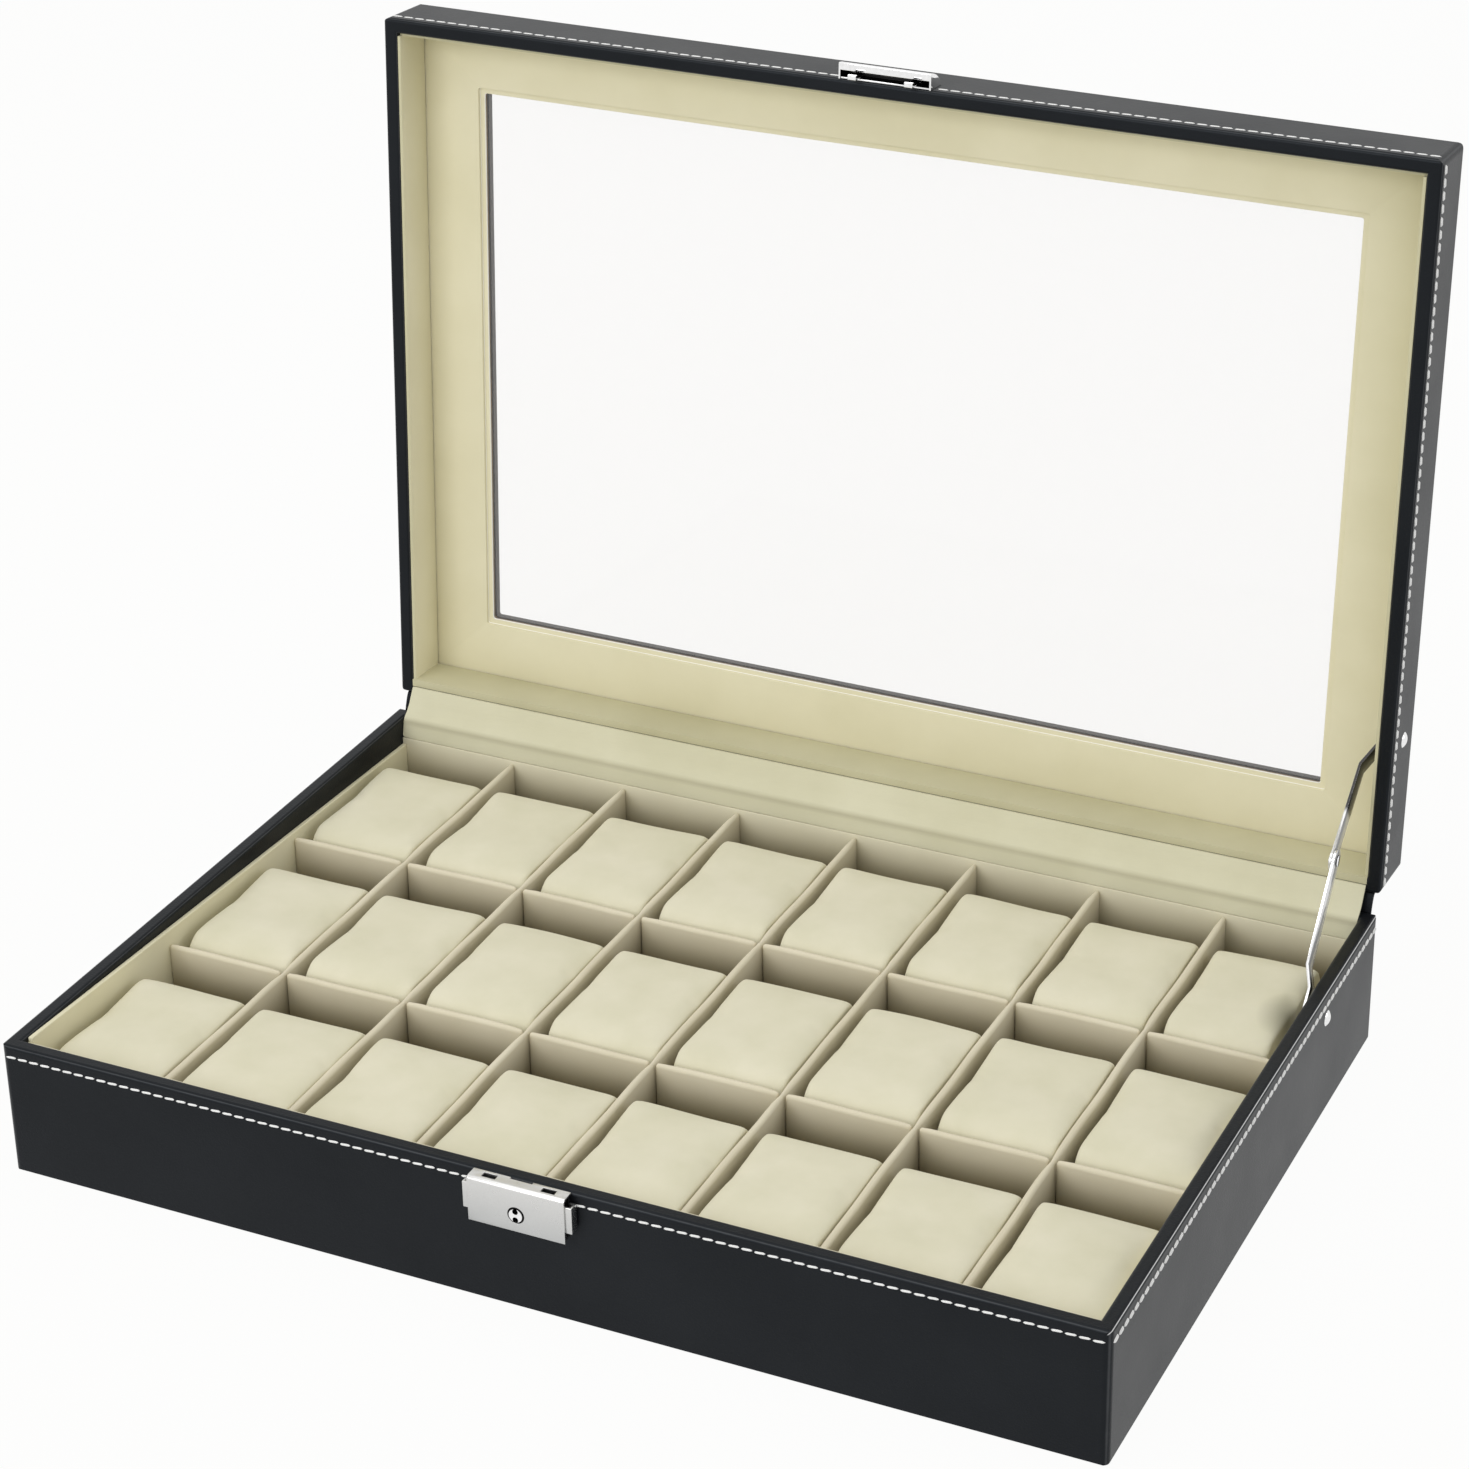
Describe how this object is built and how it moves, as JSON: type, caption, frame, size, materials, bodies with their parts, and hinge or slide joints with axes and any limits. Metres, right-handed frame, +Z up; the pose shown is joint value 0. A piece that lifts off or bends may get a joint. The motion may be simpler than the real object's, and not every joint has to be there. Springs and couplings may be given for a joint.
{
  "type": "watch box",
  "caption": "Flat leather-covered watch box with a hinged glazed lid, padded compartments with lift-out pillows, a folding lid stay and a front lock.",
  "frame": {"origin": "middle of the base's underside", "axes": "+X to the right, +Y to the back where the lid is hinged, +Z up; the lid stands open at rest"},
  "size_m": [0.4513, 0.3593, 0.3729],
  "materials": {
    "leather": "grained black artificial leather",
    "board": "raw fibreboard",
    "cover_cloth": "matt black cloth",
    "lining": "smooth cream velvet",
    "cloth": "smooth cream lining cloth",
    "pillow": "padded cream velvet",
    "glass": "clear",
    "chrome": "polished",
    "satin": "satin nickel",
    "steel": "plain"
  },
  "bodies": {
    "base": {"base_carcase": "board", "base_leather": "leather", "bottom_cover": "cover_cloth", "floor_lining": "lining", "left_lining": "lining", "right_lining": "lining", "front_lining": "lining", "back_lining": "lining", "cross_divider_1": "lining", "cross_divider_2": "lining", "row_divider_1": "lining", "row_divider_2": "lining", "row_divider_3": "lining", "row_divider_4": "lining", "row_divider_5": "lining", "row_divider_6": "lining", "row_divider_7": "lining", "hinge_leather": "leather", "hinge_cloth": "cloth", "stay_base_rivet": "chrome", "lock_cover": "satin", "lock_back_plate": "steel", "lock_spring": "steel"},
    "lid": {"lid_carcase": "board", "lid_leather": "leather", "window_glass": "glass", "lid_mat": "lining", "lid_linings": "lining", "stay_lid_rivet": "chrome", "lid_catch": "chrome"},
    "stay_upper": {"stay_upper_arm": "chrome"},
    "stay_lower": {"stay_lower_arm": "chrome", "stay_knee_rivets": "chrome"},
    "lock_button_left": {"lock_button_left": "chrome"},
    "lock_button_right": {"lock_button_right": "chrome"},
    "key_cylinder": {"key_cylinder": "satin"},
    "pillow_r1_c1": {"pillow_r1_c1": "pillow"},
    "pillow_r1_c2": {"pillow_r1_c2": "pillow"},
    "pillow_r1_c3": {"pillow_r1_c3": "pillow"},
    "pillow_r1_c4": {"pillow_r1_c4": "pillow"},
    "pillow_r1_c5": {"pillow_r1_c5": "pillow"},
    "pillow_r1_c6": {"pillow_r1_c6": "pillow"},
    "pillow_r1_c7": {"pillow_r1_c7": "pillow"},
    "pillow_r1_c8": {"pillow_r1_c8": "pillow"},
    "pillow_r2_c1": {"pillow_r2_c1": "pillow"},
    "pillow_r2_c2": {"pillow_r2_c2": "pillow"},
    "pillow_r2_c3": {"pillow_r2_c3": "pillow"},
    "pillow_r2_c4": {"pillow_r2_c4": "pillow"},
    "pillow_r2_c5": {"pillow_r2_c5": "pillow"},
    "pillow_r2_c6": {"pillow_r2_c6": "pillow"},
    "pillow_r2_c7": {"pillow_r2_c7": "pillow"},
    "pillow_r2_c8": {"pillow_r2_c8": "pillow"},
    "pillow_r3_c1": {"pillow_r3_c1": "pillow"},
    "pillow_r3_c2": {"pillow_r3_c2": "pillow"},
    "pillow_r3_c3": {"pillow_r3_c3": "pillow"},
    "pillow_r3_c4": {"pillow_r3_c4": "pillow"},
    "pillow_r3_c5": {"pillow_r3_c5": "pillow"},
    "pillow_r3_c6": {"pillow_r3_c6": "pillow"},
    "pillow_r3_c7": {"pillow_r3_c7": "pillow"},
    "pillow_r3_c8": {"pillow_r3_c8": "pillow"}
  },
  "joints": [
    {"name": "lid_hinge", "type": "hinge", "parent": "base", "child": "lid", "pos_m": [0, 0.1559, 0.0594], "axis": [-1, 0, 0], "range_deg": [-93.7, 0], "deforming": ["hinge_leather", "hinge_cloth"]},
    {"name": "stay_upper_pivot", "type": "hinge", "parent": "lid", "child": "stay_upper", "pos_m": [0.2161, 0.17278, 0.12515], "axis": [-1, 0, 0], "range_deg": [0, 128.8]},
    {"name": "stay_knee", "type": "hinge", "parent": "stay_upper", "child": "stay_lower", "pos_m": [0.2125, 0.12765, 0.091], "axis": [-1, 0, 0], "range_deg": [-149.6, 0]},
    {"name": "lock_button_left_press", "type": "slide", "parent": "base", "child": "lock_button_left", "axis": [1, 0, 0], "range_m": [0, 0.002], "stiffness_N_per_m": 300, "springref_m": -0.002, "deforming": ["lock_spring"]},
    {"name": "lock_button_right_press", "type": "slide", "parent": "base", "child": "lock_button_right", "axis": [-1, 0, 0], "range_m": [0, 0.002], "stiffness_N_per_m": 300, "springref_m": -0.002, "deforming": ["lock_spring"]},
    {"name": "key_turn", "type": "hinge", "parent": "base", "child": "key_cylinder", "pos_m": [0, -0.1575, 0.045], "axis": [0, 1, 0], "range_deg": [0, 90]},
    {"name": "pillow_r1_c1_lift", "type": "slide", "parent": "base", "child": "pillow_r1_c1", "axis": [0, 0, 1], "range_m": [0, 0.055]},
    {"name": "pillow_r1_c2_lift", "type": "slide", "parent": "base", "child": "pillow_r1_c2", "axis": [0, 0, 1], "range_m": [0, 0.055]},
    {"name": "pillow_r1_c3_lift", "type": "slide", "parent": "base", "child": "pillow_r1_c3", "axis": [0, 0, 1], "range_m": [0, 0.055]},
    {"name": "pillow_r1_c4_lift", "type": "slide", "parent": "base", "child": "pillow_r1_c4", "axis": [0, 0, 1], "range_m": [0, 0.055]},
    {"name": "pillow_r1_c5_lift", "type": "slide", "parent": "base", "child": "pillow_r1_c5", "axis": [0, 0, 1], "range_m": [0, 0.055]},
    {"name": "pillow_r1_c6_lift", "type": "slide", "parent": "base", "child": "pillow_r1_c6", "axis": [0, 0, 1], "range_m": [0, 0.055]},
    {"name": "pillow_r1_c7_lift", "type": "slide", "parent": "base", "child": "pillow_r1_c7", "axis": [0, 0, 1], "range_m": [0, 0.055]},
    {"name": "pillow_r1_c8_lift", "type": "slide", "parent": "base", "child": "pillow_r1_c8", "axis": [0, 0, 1], "range_m": [0, 0.055]},
    {"name": "pillow_r2_c1_lift", "type": "slide", "parent": "base", "child": "pillow_r2_c1", "axis": [0, 0, 1], "range_m": [0, 0.055]},
    {"name": "pillow_r2_c2_lift", "type": "slide", "parent": "base", "child": "pillow_r2_c2", "axis": [0, 0, 1], "range_m": [0, 0.055]},
    {"name": "pillow_r2_c3_lift", "type": "slide", "parent": "base", "child": "pillow_r2_c3", "axis": [0, 0, 1], "range_m": [0, 0.055]},
    {"name": "pillow_r2_c4_lift", "type": "slide", "parent": "base", "child": "pillow_r2_c4", "axis": [0, 0, 1], "range_m": [0, 0.055]},
    {"name": "pillow_r2_c5_lift", "type": "slide", "parent": "base", "child": "pillow_r2_c5", "axis": [0, 0, 1], "range_m": [0, 0.055]},
    {"name": "pillow_r2_c6_lift", "type": "slide", "parent": "base", "child": "pillow_r2_c6", "axis": [0, 0, 1], "range_m": [0, 0.055]},
    {"name": "pillow_r2_c7_lift", "type": "slide", "parent": "base", "child": "pillow_r2_c7", "axis": [0, 0, 1], "range_m": [0, 0.055]},
    {"name": "pillow_r2_c8_lift", "type": "slide", "parent": "base", "child": "pillow_r2_c8", "axis": [0, 0, 1], "range_m": [0, 0.055]},
    {"name": "pillow_r3_c1_lift", "type": "slide", "parent": "base", "child": "pillow_r3_c1", "axis": [0, 0, 1], "range_m": [0, 0.055]},
    {"name": "pillow_r3_c2_lift", "type": "slide", "parent": "base", "child": "pillow_r3_c2", "axis": [0, 0, 1], "range_m": [0, 0.055]},
    {"name": "pillow_r3_c3_lift", "type": "slide", "parent": "base", "child": "pillow_r3_c3", "axis": [0, 0, 1], "range_m": [0, 0.055]},
    {"name": "pillow_r3_c4_lift", "type": "slide", "parent": "base", "child": "pillow_r3_c4", "axis": [0, 0, 1], "range_m": [0, 0.055]},
    {"name": "pillow_r3_c5_lift", "type": "slide", "parent": "base", "child": "pillow_r3_c5", "axis": [0, 0, 1], "range_m": [0, 0.055]},
    {"name": "pillow_r3_c6_lift", "type": "slide", "parent": "base", "child": "pillow_r3_c6", "axis": [0, 0, 1], "range_m": [0, 0.055]},
    {"name": "pillow_r3_c7_lift", "type": "slide", "parent": "base", "child": "pillow_r3_c7", "axis": [0, 0, 1], "range_m": [0, 0.055]},
    {"name": "pillow_r3_c8_lift", "type": "slide", "parent": "base", "child": "pillow_r3_c8", "axis": [0, 0, 1], "range_m": [0, 0.055]}
  ],
  "couplings": [
    {"joint": "stay_upper_pivot", "follows": "lid_hinge", "ratio": -1.3641},
    {"joint": "stay_knee", "follows": "lid_hinge", "ratio": 1.5864}
  ]
}
